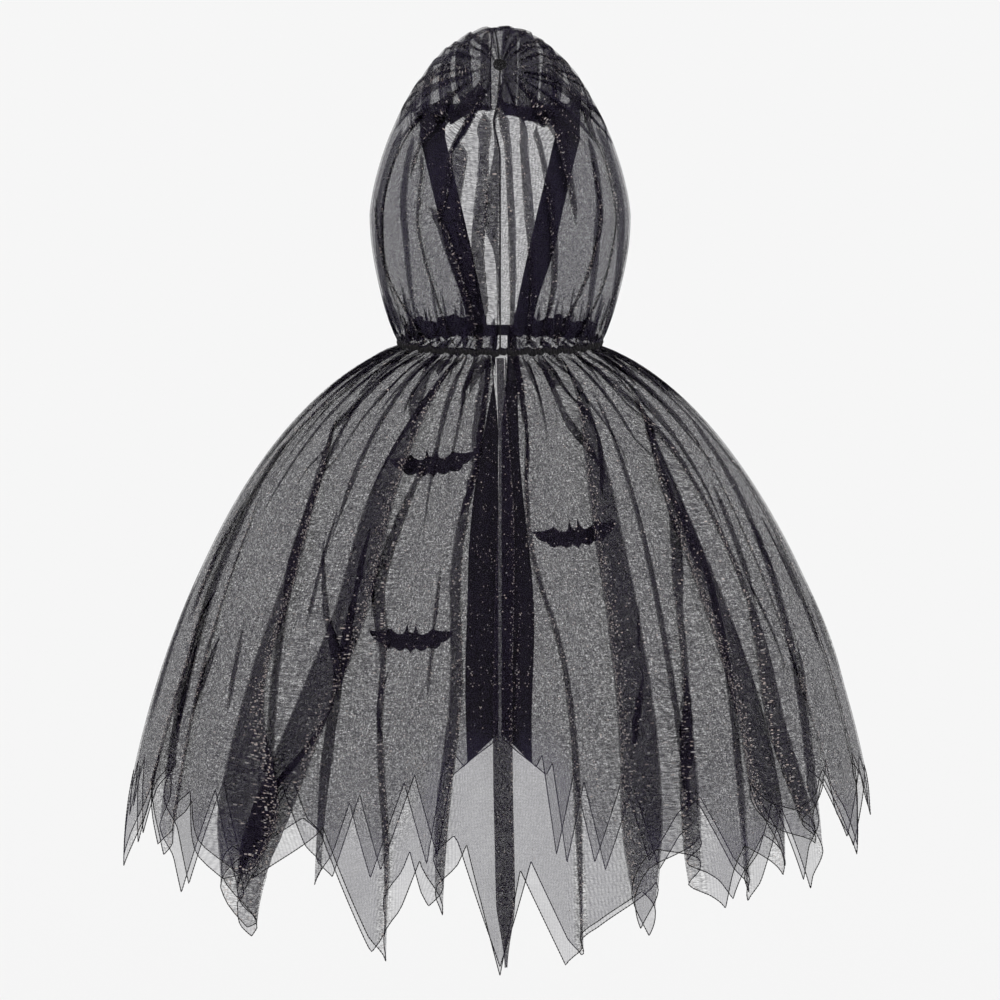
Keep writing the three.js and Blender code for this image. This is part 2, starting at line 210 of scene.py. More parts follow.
def rounded_line(points, where):
    """A smooth line through (place, value) points: straight stretches with their corners rounded off."""
    places, values = zip(*points)
    fine = linspace(places[0], places[-1], 121)
    kernel = np.hanning(27)[1:-1]
    kernel /= kernel.sum()
    padded = np.pad(np.interp(fine, places, values), len(kernel) // 2, mode="reflect", reflect_type="odd")
    return np.interp(where, fine, np.convolve(padded, kernel, mode="valid"))


# ---- camera, floor and light

PICTURE_WIDTH = 0.94  # metres across the picture, at the middle of the cape
CAMERA_DISTANCE = 7.0
CAMERA_ELEVATION = math.radians(8)
SENSOR = 36.0
FAR_ENOUGH = 200
AIM = Vector((0, 0, -0.1495))
FLOOR_DROP = 0.42  # the cape hangs this far above the floor
FLOOR_HALF_SIZE = 60
BACKGROUND = (0.914, 0.914, 0.914)
FLOOR_PAPER = (0.845, 0.845, 0.845)
LAMPS = {  # where each shines from, how many degrees wide it is, and its strength
    "key": ((-1.2, -1.4, 3.0), 35, 0.55),
    "fill": ((2.2, -1.8, 1.4), 50, 0.2),
}


def place_facing(thing, place, direction):
    """Puts a camera or lamp into the scene, turned the way it looks or shines."""
    thing.location = place
    thing.rotation_mode = "QUATERNION"
    thing.rotation_quaternion = direction.to_track_quat("-Z", "Y")
    bpy.context.scene.collection.objects.link(thing)


def add_camera():
    data = bpy.data.cameras.new("camera")
    data.sensor_width = SENSOR
    data.lens = SENSOR * CAMERA_DISTANCE / PICTURE_WIDTH
    data.clip_end = FAR_ENOUGH
    camera = bpy.data.objects.new("camera", data)
    back = Vector((0, -math.cos(CAMERA_ELEVATION), math.sin(CAMERA_ELEVATION)))
    place_facing(camera, AIM + back * CAMERA_DISTANCE, -back)
    bpy.context.scene.camera = camera


def add_floor():
    far = FLOOR_HALF_SIZE
    z = cad_low.z - FLOOR_DROP
    mesh = bpy.data.meshes.new("floor")
    mesh.from_pydata([(-far, -far, z), (far, -far, z), (far, far, z), (-far, far, z)], [], [(0, 1, 2, 3)])
    floor = bpy.data.objects.new("floor", mesh)
    bpy.context.scene.collection.objects.link(floor)
    paper = Nodes("floor_paper", 1, 0)
    paper.put({"Base Color": (*FLOOR_PAPER, 1)})
    mesh.materials.append(paper.material)


def add_lights():
    """Far lamps with wide faces, so that they light the whole floor evenly."""
    world = bpy.data.worlds.new("studio")
    world.use_nodes = True
    world.node_tree.nodes["Background"].inputs["Color"].default_value = (*BACKGROUND, 1)
    bpy.context.scene.world = world
    bpy.context.scene.view_settings.view_transform = "Standard"
    for name, (place, softness, strength) in LAMPS.items():
        data = bpy.data.lights.new(name, "SUN")
        data.energy = strength
        data.angle = math.radians(softness)
        place_facing(bpy.data.objects.new(name, data), place, -Vector(place))


# ---- materials


class Nodes:
    """A short way to write a material's node tree. Values are numbers, vectors or other nodes' outputs."""

    def __init__(self, name, roughness, specular):
        self.material = bpy.data.materials.new(name)
        self.material.use_nodes = True
        self.tree = self.material.node_tree
        self.shader = self.tree.nodes["Principled BSDF"]
        self.put({"Roughness": roughness, "Specular IOR Level": specular})

    def put(self, values, node=None):
        """Sets or links the inputs of a node, or of the shader."""
        for socket, value in values.items():
            target = (node or self.shader).inputs[socket]
            if isinstance(value, bpy.types.NodeSocket):
                self.tree.links.new(value, target)
            else:
                target.default_value = value

    def add(self, kind, output, values=None, **settings):
        """Adds a node with these input values, and gives back one of its outputs."""
        node = self.tree.nodes.new(f"ShaderNode{kind}")
        for key, value in settings.items():
            setattr(node, key, value)
        self.put(values or {}, node)
        return node.outputs[output]

    def math(self, operation, a, b, clamp=False):
        return self.add("Math", 0, {0: a, 1: b}, operation=operation, use_clamp=clamp)

    def uv(self, turn=0.0, scale=(1, 1, 1)):
        """Cloth coordinates in metres across and along the cloth."""
        cloth = self.add("UVMap", "UV", uv_map="cloth")
        values = {"Vector": cloth, "Rotation": (0, 0, math.radians(turn)), "Scale": scale}
        return self.add("Mapping", "Vector", values)

    def noise(self, vector, scale, detail=2.0, roughness=0.5):
        values = {"Vector": vector, "Scale": scale, "Detail": detail, "Roughness": roughness}
        return self.add("TexNoise", "Fac", values)

    def cells(self, vector, scale):
        """How far a place is from its small cell's centre, and random numbers for each cell."""
        distance = self.add("TexVoronoi", "Distance", {"Vector": vector, "Scale": scale})
        parts = self.add("SeparateColor", "Red", {"Color": distance.node.outputs["Color"]})
        return distance, parts.node.outputs

    def wave(self, vector, direction):
        values = {"Vector": vector, "Scale": WAVE_SCALE, "Distortion": 0.8, "Detail": 1, "Detail Scale": 0.6}
        return self.add("TexWave", "Fac", values, bands_direction=direction)

    def span(self, value, low, high, to_low, to_high):
        """The value's range from low to high, stretched to the range from to_low to to_high."""
        values = {"Value": value, "From Min": low, "From Max": high, "To Min": to_low, "To Max": to_high}
        return self.add("MapRange", "Result", values)

    def colours(self, share, a, b):
        ends = [(*colour, 1) if isinstance(colour, tuple) else colour for colour in (a, b)]
        return self.add("Mix", 2, {0: share, 6: ends[0], 7: ends[1]}, data_type="RGBA")

    def base(self, share, dark, light):
        self.put({"Base Color": self.colours(share, dark, light)})

    def patterned(self, fine, coarse, coarse_share, dark, light):
        """Colours the cloth by two patterns, added up by their shares."""
        share = self.math("ADD", self.math("MULTIPLY", fine, 1 - coarse_share),
                          self.math("MULTIPLY", coarse, coarse_share))
        self.base(self.span(share, 0.3, 0.7, 0, 1), dark, light)

    def bump(self, height, strength, distance):
        values = {"Height": height, "Strength": strength, "Distance": distance}
        self.put({"Normal": self.add("Bump", "Normal", values)})


THREAD_PITCH = 0.0013  # metres between the threads that show
WAVE_SCALE = 2 * pi / 20 / THREAD_PITCH  # at scale 1 the wave node's bands are 2 pi / 20 apart
GRAIN_SCALE = 1050  # uneven threads, to the metre
SPARK_SCALE = 1250  # places where the metallic thread may catch the light, to the metre
SPARK_SIZE = 0.46  # as a share of its cell
FEWEST_SPARKS, MOST_SPARKS = 0.999, 0.66  # a cell sparks when its random number is above this; the most sparks, on fold edges, are a painted highlight
RIDGE_FLOOR = 0.25  # flat cloth glitters this much of what a fold's edge does, and a hem tip not at all; the fold edge's extra sparks are a painted highlight
WEAVE, GRAIN, STREAK, CLOUD = 0.10, 0.25, 0.05, 0.03  # how much each of them changes what the cloth hides
CALM_GRAIN = 0.22  # how much of the grain is left in a hem tip
CALM_TINT = (0.026, 0.021, 0.046)
DARK_THREAD, LIGHT_THREAD = (0.008, 0.006, 0.013), (0.015, 0.011, 0.024)
SILVER_SPARK, COPPER_SPARK = (0.44, 0.43, 0.43), (0.56, 0.46, 0.42)


def organza(name, turn, cover):
    """Sheer black organza: dark threads with gaps between, and a metallic glitter thread here and there,
    crowded along fold edges as a painted highlight.
    turn is the weave's angle, and cover the share of what is behind it that one layer hides."""
    made = Nodes(name, 0.5, 0.08)
    cloth = made.uv(turn)
    threads = made.math("MAXIMUM", made.wave(cloth, "X"), made.wave(cloth, "Y"))
    streaks = made.noise(made.uv(turn, (1, 0.22, 1)), 620, 2.0, 0.6)
    clouds = made.noise(cloth, 26, 3.0)
    _, knots = made.cells(cloth, GRAIN_SCALE)
    # ridge is high at fold edges, where it crowds the sparks as a painted highlight, and falls to nothing at
    # the hem tips; it also sets how much grain and which tint the cloth has
    ridge = made.add("Attribute", "Fac", attribute_name="ridge")
    rough = made.span(ridge, 0.0, RIDGE_FLOOR, CALM_GRAIN, 1.0)
    uneven = made.math("ADD", made.span(knots["Blue"], 0, 1, -GRAIN, GRAIN),
                       made.span(streaks, 0.3, 0.7, -STREAK, STREAK))
    drift = made.math("ADD", made.span(threads, 0.25, 1.0, -WEAVE, WEAVE),
                      made.span(clouds, 0.3, 0.7, -CLOUD, CLOUD))
    alpha = made.math("ADD", made.math("MULTIPLY", uneven, rough), drift)
    alpha = made.math("ADD", alpha, cover, clamp=True)

    # Metallic sparks: the real glitter thread, and, where ridge is high along fold edges, many more of them as
    # a painted highlight
    distance, picked = made.cells(made.uv(turn, (1, 0.7, 1)), SPARK_SCALE)
    spark_and_painted_glint_limit = made.span(made.math("POWER", ridge, 2.5), 0.0, 1.0, FEWEST_SPARKS, MOST_SPARKS)
    spark_and_painted_glint_cell = made.math("GREATER_THAN", picked["Red"], spark_and_painted_glint_limit)
    glitter_and_painted_glint = made.math("MULTIPLY", spark_and_painted_glint_cell, made.math("LESS_THAN", distance, SPARK_SIZE))
    sparks = made.colours(picked["Green"], SILVER_SPARK, COPPER_SPARK)
    lively = made.colours(clouds, DARK_THREAD, LIGHT_THREAD)
    base = made.colours(made.span(ridge, 0.0, RIDGE_FLOOR, 0, 1), CALM_TINT, lively)
    made.base(glitter_and_painted_glint, base, sparks)
    made.put({"Alpha": made.math("MAXIMUM", alpha, made.math("MULTIPLY", glitter_and_painted_glint, 0.85))})
    made.put({"Metallic": made.math("MULTIPLY", glitter_and_painted_glint, 0.9)})
    made.bump(threads, 0.3, 0.0003)
    return made.material


def satin(name, dark, light, thread_scale):
    """Opaque soft satin: fine ribs across it, slightly uneven."""
    made = Nodes(name, 0.55, 0.12)
    patches = made.noise(made.uv(), 40, 3.0)
    ribs = made.noise(made.uv(0, (0.12, 1, 1)), thread_scale)
    made.patterned(ribs, patches, 0.4, dark, light)
    made.put({"Roughness": made.span(patches, 0.3, 0.7, 0.42, 0.62)})
    made.bump(ribs, 0.3, 0.0004)
    return made.material


def fuzzy(name, dark, light, scale, depth):
    """Felt or tape: matt, with a short tangled pile."""
    made = Nodes(name, 0.85, 0.2)
    place = made.add("NewGeometry", "Position")
    pile = made.noise(place, scale, 3.0, 0.7)
    made.patterned(pile, made.noise(place, scale / 14), 0.3, dark, light)
    made.put({"Sheen Weight": 0.3})
    made.bump(pile, 0.6, depth)
    return made.material


def thread(name):
    """Twisted overlocking thread along an edge: darker and lighter turns."""
    made = Nodes(name, 0.65, 0.15)
    turns = made.noise(made.add("NewGeometry", "Position"), 700, 1.0)
    made.base(made.span(turns, 0.35, 0.65, 0, 1), (0.003, 0.003, 0.0035), (0.022, 0.020, 0.022))
    made.bump(turns, 0.5, 0.0004)
    return made.material


RECIPES = {
    "outer_organza": (organza, 0, 0.33),
    "inner_organza": (organza, 7, 0.325),
    "facing_satin": (satin, (0.002, 0.002, 0.002), (0.007, 0.007, 0.007), 900),
    "label_satin": (satin, (0.05, 0.05, 0.053), (0.11, 0.108, 0.115), 1400),
    "seam_thread": (thread,),
    "bat_felt": (fuzzy, (0.0025, 0.0025, 0.003), (0.012, 0.012, 0.013), 2600, 0.0004),
    "closure_tape": (fuzzy, (0.004, 0.004, 0.005), (0.022, 0.022, 0.024), 1500, 0.0008),
}
MATERIALS = {slot: recipe(slot, *values) for slot, (recipe, *values) in RECIPES.items()}


# ---- meshes


def add_piece(name, points, faces, slot, uv=None, ridge=None):
    """A smooth mesh from points in millimetres. uv is one pair for each point, in metres of cloth."""
    mesh = bpy.data.meshes.new(name)
    corners = faces.tolist() if isinstance(faces, np.ndarray) else faces
    mesh.from_pydata((np.asarray(points) * MM).tolist(), [], corners)
    mesh.polygons.foreach_set("use_smooth", np.ones(len(mesh.polygons), bool))
    if uv is not None:
        corner = np.empty(len(mesh.loops), np.int32)
        mesh.loops.foreach_get("vertex_index", corner)
        layer = mesh.uv_layers.new(name="cloth")
        layer.data.foreach_set("uv", np.asarray(uv, np.float32)[corner].ravel())
    if ridge is not None:
        attribute = mesh.attributes.new("ridge", "FLOAT", "POINT")
        attribute.data.foreach_set("value", np.asarray(ridge, np.float32).ravel())
    mesh.materials.append(MATERIALS[slot])
    piece = bpy.data.objects.new(name, mesh)
    bpy.context.scene.collection.objects.link(piece)
    return piece


def grid_faces(rows, columns, wrap=False):
    row, column = np.meshgrid(np.arange(rows - 1), np.arange(columns if wrap else columns - 1), indexing="ij")
    here, below = row * columns, (row + 1) * columns
    after = (column + 1) % columns
    return np.stack([here + column, here + after, below + after, below + column], axis=-1).reshape(-1, 4)


def add_grid(name, points, slot, across, along, ridge=None, turned=False):
    """A sheet from a grid of points and its cloth coordinates in millimetres. turned swaps its two sides."""
    faces = grid_faces(*points.shape[:2])
    if turned:
        faces = faces[:, ::-1]
    uv = np.stack(np.broadcast_arrays(across, along), axis=-1) * MM
    return add_piece(name, points.reshape(-1, 3), faces, slot, uv.reshape(-1, 2), ridge)


def closed_skin(rings, turned=False):
    """Points and faces of a skin over rings of points, closed at both ends. turned swaps its two sides."""
    rows, sides = rings.shape[:2]
    first = list(range(sides))
    last = [(rows - 1) * sides + index for index in first]
    faces = grid_faces(rows, sides, wrap=True).tolist() + [first[::-1], last]
    if turned:
        faces = [face[::-1] for face in faces]
    return rings.reshape(-1, 3), faces


TUBE_LEAN = (0.3, 0.2, 0.93)  # turns a tube's section; hardly a stretch of any tube runs this way


def tube(points, radius, sides=6, ripple=0.0, pitch=2.0):
    """A closed round tube along points. Its radius swells by ripple once each pitch, as stitches do."""
    ahead = unit(np.gradient(points, axis=0))
    across = unit(np.cross(ahead, TUBE_LEAN))
    up = np.cross(across, ahead)
    size = radius * (1 + ripple * sin(length_along(points) * 2 * pi / pitch))
    turn = linspace(0, 2 * pi, sides, endpoint=False)
    ring = across[:, None] * cos(turn)[None, :, None] + up[:, None] * sin(turn)[None, :, None]
    return closed_skin(points[:, None] + ring * size[:, None, None], turned=True)


def resample(points, step):
    way = length_along(points)
    even = linspace(0, way[-1], max(int(way[-1] / step), 2))
    return np.stack([np.interp(even, way, points[:, axis]) for axis in range(3)], axis=-1)


def outwards(points, side):
    """Unit vectors that point out of the cloth at every point of a grid, from its neighbours."""
    return unit(np.cross(np.gradient(points, axis=0), np.gradient(points, axis=1)) * side)


def layer_spread(from_seam):
    return mix(SEAMED_SHARE, 1, smoothstep(np.abs(from_seam), CLOTH_START, SEAMED_WITHIN))


def offset_layer(points, from_seam, layer, side):
    """The outer or the inner cloth, a little off the middle of the two."""
    away = LAYER_OFFSET if layer == "outer" else -LAYER_OFFSET
    return points + outwards(points, side) * (away * layer_spread(from_seam))[..., None]


# ---- folds

FOLD_EDGE = 0.4  # where in a fold the doubled cloth turns, as a share of its reach
EDGE_WIDTH = 0.16
DEEP_FROM = 25  # a fold with less reach than this stands out less

# A fold runs along path, (distance from the seam, angle) points. reach is its half width, as (distance from
# the seam, half width) points, depth how far it stands out, and tight, when above 1, how far its cloth
# doubles back over itself. ease is the stretch over which it starts and ends, ends whether it dies out before
# the cloth's edge, and the last how much painted highlight its edges get, as extra glitter sparks.
Fold = namedtuple("Fold", "path reach depth tight ease ends shine")


def fold_curve(place):
    """How far a fold shifts the cloth, for a place from -1 to 1 across it."""
    inside = np.abs(place) < 1
    return np.where(inside, sin(pi * place) * (1 - place**2), 0)


# How near a place is to a fold's edge, where the cloth gets a painted highlight of extra sparks.
def fold_ridge(place):
    return np.exp(-(((np.abs(place) - FOLD_EDGE) / EDGE_WIDTH) ** 2))


def widest(fold):
    return max(width for _, width in fold.reach)


def lay_folds(folds, degrees, down, scale):
    """Lays folds on a grid one after another, narrow ones first, so that a later one folds what the earlier
    ones left. degrees is the angle of each grid point, down its distance from the seam where the folds
    start, and scale millimetres to a degree. Returns the angles after folding, the shift outwards and the
    ridges."""
    folded = degrees + np.zeros_like(down)
    out = np.zeros_like(folded)
    ridge = np.zeros_like(folded)
    for fold in sorted(folds, key=widest):
        centre = rounded_line(fold.path, down)
        reach = rounded_line(fold.reach, down)
        first, last = fold.path[0][0], fold.path[-1][0]
        shown = np.ones_like(down)
        if first > CLOTH_START:
            shown = smoothstep(down, first, first + fold.ease)
        if fold.ends:
            shown = shown * (1 - smoothstep(down, last - fold.ease, last))
        place = (folded - centre) * scale / reach
        curve = fold_curve(place) * shown
        folded = folded - fold.tight / pi * reach * curve / scale
        out += fold.depth * np.minimum(reach / DEEP_FROM, 1) * curve
        # Fold edges get a painted highlight of extra glitter sparks, as strong as the fold asks for.
        ridge = maximum(ridge, fold_ridge(place) * shown * fold.shine)
    return folded, out, ridge


def small_gathers(seed, count, angles, reach, ends, depth=5.0):
    """Short narrow folds that start in the neck seam, at seeded places and lengths."""
    random = np.random.default_rng(seed)
    made = []
    for index in range(count):
        angle = mix(*angles, (index + random.uniform(0.2, 0.8)) / count)
        end = random.uniform(*ends)
        width = random.uniform(*reach)
        wander = random.uniform(-2.5, 2.5)
        made.append(Fold(
            path=[(0, angle), (end * 0.5, angle + wander * 0.5), (end, angle + wander)],
            reach=[(0, width), (end, width * random.uniform(1.0, 1.7))],
            depth=depth * random.uniform(0.6, 1.2),
            tight=random.uniform(1.6, 3.2),
            ease=end * 0.8,
            ends=True,
            # how much painted highlight, as extra sparks, its edges get
            shine=random.uniform(0.1, 0.45),
        ))
    return made


# ---- body cloth

# The zigzag hem, as in the CAD part: (angle, drop) of tips and valleys in turn.
HEM = {
    "right": [
        (0, 564), (3, 466), (9.5, 555), (17, 490), (21.5, 531), (28, 450), (35, 508),
        (38, 452), (42, 484), (48, 396), (55, 458), (61, 391), (68, 474), (77, 391), (90, 450),
        (98, 407), (110, 492), (117, 430), (125, 543), (131, 468), (138, 562),
        (147, 462), (155, 536), (159, 455), (164, 540), (167, 452), (170, 533), (172, 434), (173, 446),
        (180, 410),
    ],
    "left": [
        (0, 564), (5, 443), (9.5, 508), (12, 458), (17.5, 552), (28, 432), (41, 536),
        (46, 454), (51, 492), (56, 417), (63.5, 471), (70, 384), (78, 490), (84, 404), (90, 450),
        (97, 407), (106, 487), (113, 420), (122.5, 545), (129, 447), (136, 545),
        (144, 452), (152, 551), (156, 470), (160, 546), (165, 452), (169, 534), (171.5, 434), (173, 446),
        (180, 410),
    ],
}
INNER_SHORTER = 8
INNER_TURN = 1.6
TIPS_FROM = 430  # about the drop of the hem's valleys
FOLDS_END = 600


def inner_hem(hem):
    """The inner cloth is a little shorter, and its tips hang beside the outer one's."""
    return [(angle + (INNER_TURN if 0 < angle < 180 else 0), drop - INNER_SHORTER) for angle, drop in hem]


def long_fold(reach, depth, tight, shine, *path):
    """A fold that opens downwards to the hem, where its half width is reach. path is (drop, angle) points."""
    start = path[0][0]
    widths = [(0, 5), (max(start, 1) + 30, reach * 0.32), (start + 120, reach * 0.66), (TIPS_FROM, reach),
              (FOLDS_END, reach * 1.05)]
    # the fold's edges get a painted highlight of extra sparks, as strong as given
    return Fold([*path, (FOLDS_END, path[-1][1])], widths, depth, tight, 40, False, shine)


# Each is what long_fold takes: half width at the hem, depth, tightness, the painted highlight on its edges,
# and (drop, angle) points.
LONG_FOLDS = {
    "left": [
        (17, 6, 3, 0.9, (0, 5), (60, 5), (180, 9), (300, 7), (420, 9)),
        (15, 6, 2.4, 1, (70, 17), (100, 19), (200, 21), (330, 20), (450, 17)),
        (60, 12, 3, 0.8, (0, 23), (60, 26), (120, 28), (230, 28), (330, 33), (480, 41)),
        (38, 10, 3, 0.9, (40, 61), (64, 56), (110, 48), (200, 44), (340, 46), (470, 47)),
        (10, 4, 2.2, 0.6, (120, 42), (200, 37), (270, 36), (420, 36)),
        (17, 7, 2.6, 1, (120, 69), (200, 64), (300, 62), (450, 61)),
        (30, 9, 3, 0.9, (0, 57), (30, 66), (70, 75), (130, 76), (200, 77), (270, 68), (450, 72)),
        (16, 7, 2.2, 0.6, (80, 108), (200, 112), (450, 116)),
        (14, 6, 2.2, 0.6, (40, 133), (200, 136), (450, 141)),
        (14, 5, 3, 0.6, (180, 153), (320, 152), (450, 151)),
    ],
    "right": [
        (13, 6, 2.4, 1, (0, 9), (60, 8), (120, 6), (180, 6), (260, 11), (340, 12)),
        (54, 11, 3, 0.8, (0, 35), (50, 27), (90, 25), (150, 23), (340, 23), (450, 22)),
        (20, 7, 2.6, 0.8, (120, 37), (220, 35), (330, 32), (450, 31)),
        (52, 11, 3, 0.9, (20, 56), (50, 51), (95, 43), (150, 42), (250, 44), (340, 46), (450, 46)),
        (17, 7, 2.6, 1, (0, 48), (30, 53), (100, 52), (220, 54), (340, 54), (450, 57)),
        (13, 5, 2.2, 0.9, (60, 66), (160, 61), (280, 61), (450, 64)),
        (16, 6, 2.2, 0.8, (90, 82), (250, 78), (450, 76)),
        (14, 7, 2.2, 0.6, (60, 112), (220, 116), (450, 121)),
        (14, 6, 2.2, 0.6, (90, 138), (240, 137), (450, 139)),
        (12, 5, 2.4, 0.6, (40, 150), (140, 150), (300, 150), (450, 149)),
    ],
}
BODY_COLUMNS, BODY_ROWS = 400, 118
BODY_SEED = {"left": 11, "right": 12}
STREAKS = 13
STREAK_SPACING = 12
UV_AT_DROP = 300.0  # the weave is drawn at its true width at this drop


def front_gap(drop):
    """Half the gap between the two front edges: they swing together below the throat."""
    return mix(FRONT_HALF_GAP, FRONT_MEETS, smoothstep(drop, 25, 105))


def body_angle(nominal, drop):
    """The real angle of a nominal one, which runs from exactly the back seam to exactly the front edge."""
    from_angle = angle_of(CENTRE_GAP, body_half_width(drop))
    to_angle = 180 - angle_of(front_gap(drop), body_half_width(drop))
    back = mix(from_angle, 90, nominal / 90)
    front = mix(90, to_angle, (nominal - 90) / 90)
    return np.where(nominal < 90, back, front)


def millimetres_per_degree(degrees, drop):
    angle = radians(degrees)
    across = np.hypot(body_half_width(drop) * cos(angle), body_half_depth(drop) * sin(angle))
    return across * pi / 180


def streaks(seed):
    """Soft narrow folds part of the way down, which die out above the hem."""
    random = np.random.default_rng(seed)
    made = []
    for index in range(STREAKS):
        angle = STREAK_SPACING * (index + random.uniform(0.2, 1.0))
        start = random.uniform(110, 260)
        end = min(start + random.uniform(110, 190), TIPS_FROM - 5)
        lean = random.uniform(-4, 4)
        width = random.uniform(6, 13)
        path = [(start, angle), (mix(start, end, 0.5), angle + lean * 0.6), (end, angle + lean)]
        tight = random.uniform(1.6, 2.6)
        # how much painted highlight, as extra sparks, its edges get
        shine = random.uniform(0.4, 0.9)
        made.append(Fold(path, [(start, width * 0.6), (end, width)], 4, tight, 60, True, shine))
    return made


def body_folds(name):
    seed = BODY_SEED[name]
    short = small_gathers(seed, 58, angles=(2, 176), reach=(3.2, 5.6), ends=(22, 90))
    longer = small_gathers(seed + 50, 14, angles=(4, 90), reach=(5, 9), ends=(110, 260))
    return short + longer + streaks(seed + 90) + [long_fold(*fold) for fold in LONG_FOLDS[name]]


def body_grid(name, hem):
    """The middle surface of one half of the body cloth, with its folds, down to this hem: its points, their
    places across the flat cloth, the ridges and the drops."""
    side = SIDES[name]
    nominal = np.unique(np.concatenate([linspace(0, 180, BODY_COLUMNS), [angle for angle, _ in hem]]))
    bottom = np.interp(nominal, *zip(*hem))
    drop = mix(CLOTH_EDGE, bottom, linspace(0, 1, BODY_ROWS)[:, None] ** 1.35)
    nominal = np.broadcast_to(nominal, drop.shape)
    angle = body_angle(nominal, drop)
    out = outwards(body_point(angle, drop, side), side)
    folded, lift, ridge = lay_folds(body_folds(name), angle, drop, millimetres_per_degree(angle, drop))

    # Slow waves that grow towards the hem, and edges that stay in their seams.
    wave = sin(radians(nominal) * 11 + side) * 3.0 + sin(radians(nominal) * 23) * 1.2
    lift = lift + wave * smoothstep(drop, 60, TIPS_FROM)
    hold = between(nominal, 0, 3, 177, 180)
    keep = smoothstep(drop, CLOTH_EDGE, HELD_UNTIL)
    looser = mix(1, 0.7, smoothstep(drop, TIPS_FROM - 20, TIPS_FROM + 100))
    points = body_point(mix(angle, folded, hold * keep * looser), drop, side)
    points = points + out * (lift * hold * mix(0.35, 1, keep))[..., None]

    # The hem tips are calm, and so is the cloth a little higher up at the centre back.
    calm_by = mix(TIPS_FROM - 60, TIPS_FROM + 30, smoothstep(nominal, 8, 15))
    ridge = maximum(ridge, RIDGE_FLOOR * (1 - smoothstep(drop, calm_by - 50, calm_by)))
    fine = linspace(0, 180, 181)
    across = np.interp(nominal, fine, np.cumsum(millimetres_per_degree(fine, UV_AT_DROP)))
    return points, across, ridge, drop


def blend_body(piece):
    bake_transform(piece)


def add_serging(name, edge):
    """The overlocking thread along a cloth's edge."""
    points, faces = tube(resample(edge, 1.6), 0.5, sides=5, ripple=0.3, pitch=3.2)
    return add_piece(name, points, faces, "seam_thread")


def add_body_cloth(name, layer):
    side = SIDES[name]
    hem = HEM[name] if layer == "outer" else inner_hem(HEM[name])
    points, across, ridge, drop = body_grid(name, hem)
    points = offset_layer(points, drop, layer, side)
    piece = add_grid(f"body_{layer}_{name}", points, f"{layer}_organza", across, drop, ridge, side == RIGHT)
    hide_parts(f"back_panel_{layer}_{name}", f"front_panel_{layer}_{name}")
    blend_body(piece)
    edge = np.concatenate([points[:, -1], points[-1, ::-1]])
    blend_body(add_serging(f"hem_serging_{layer}_{name}", edge))


# ---- hood cloth

APEX_HEIGHT = 262  # the hood's cloth is drawn together at this height on its centre back
APEX_RAYS = 38  # pleats that fan out from there
APEX_REACH = 235
APEX_SEED = 5
HOOD_COLUMNS, HOOD_ROWS = 250, 170
LOWER_ROWS = 118  # of them up to the top of the face opening
HOOD_SEED = {"left": 21, "right": 22}
HOOD_SHINE = 0.45  # the hood's flat cloth glitters this much of what the body's does
HOOD_UV_START = 700  # keeps the hood's weave off the body's
BROW_SCALLOP = 17  # the gathers over the brow let the face edge hang in scallops this wide
BROW_DROOP = 13

# Tightness, the painted highlight on the fold's edges, path as (height, angle) points and reach as (height,
# half width) points.
HOOD_FOLDS = {
    "left": [
        (3, 0.5, [(0, 2), (60, 1), (120, 3), (200, 2), (262, 1)], [(0, 5), (150, 13), (262, 5)]),
        (3, 0.8, [(20, 6), (100, 10), (160, 8), (235, 9)], [(20, 7), (120, 18), (235, 8)]),
        (2.6, 0.6, [(0, 9), (60, 14), (140, 20), (215, 16)], [(0, 6), (120, 16), (215, 7)]),
        (3, 1, [(0, 12), (60, 17), (118, 26), (150, 38)], [(0, 6), (100, 15), (150, 18)]),
        (2.2, 0.6, [(0, 26), (60, 33), (120, 40), (200, 42)], [(0, 5), (120, 14), (200, 8)]),
        (3, 1, [(0, 42), (60, 62), (110, 74), (150, 82)], [(0, 5), (80, 9), (150, 8)]),
        (2.2, 0.6, [(0, 55), (70, 66), (170, 66), (240, 46)], [(0, 5), (120, 12), (240, 8)]),
        (3, 0.8, [(110, 28), (190, 26), (262, 10)], [(110, 8), (190, 20), (262, 8)]),
        (3, 0.8, [(150, 48), (210, 46), (262, 24)], [(150, 8), (210, 18), (262, 8)]),
        (3, 0.6, [(0, 100), (100, 108), (210, 112)], [(0, 5), (100, 14), (210, 10)]),
        (2.2, 0.6, [(0, 128), (90, 132), (200, 128)], [(0, 5), (100, 10), (200, 8)]),
    ],
    "right": [
        (3, 0.9, [(0, 6), (60, 6), (130, 5), (200, 4), (262, 2)], [(0, 5), (130, 9), (262, 5)]),
        (3, 0.7, [(0, 15), (60, 16), (130, 13), (220, 12), (262, 5)], [(0, 6), (140, 12), (262, 5)]),
        (3, 0.9, [(0, 30), (70, 44), (130, 52), (190, 52)], [(0, 5), (100, 10), (190, 7)]),
        (3, 0.6, [(0, 44), (60, 58), (120, 66), (200, 66), (250, 52)], [(0, 5), (150, 17), (250, 7)]),
        (2, 0.6, [(0, 62), (60, 76), (120, 82)], [(0, 5), (60, 8), (120, 7)]),
        (2.6, 0.6, [(0, 22), (60, 26), (150, 24), (225, 20)], [(0, 6), (120, 15), (225, 7)]),
        (3, 0.8, [(110, 36), (200, 34), (262, 12)], [(110, 8), (200, 18), (262, 8)]),
        (2.4, 0.6, [(0, 98), (100, 106), (210, 110)], [(0, 5), (100, 12), (210, 9)]),
        (2.4, 0.6, [(0, 126), (90, 130), (200, 127)], [(0, 5), (100, 11), (200, 8)]),
    ],
}


def apex_frame(step):
    """Where the hood is drawn together, and unit vectors up along the cloth, over a step, and out of it."""
    apex = hood_point(0.0, APEX_HEIGHT, RIGHT)
    above = unit(hood_point(0.0, APEX_HEIGHT + step, RIGHT) - apex)
    outward = np.cross(above, (1, 0, 0))
    return apex, above, outward * np.sign(-outward[1])


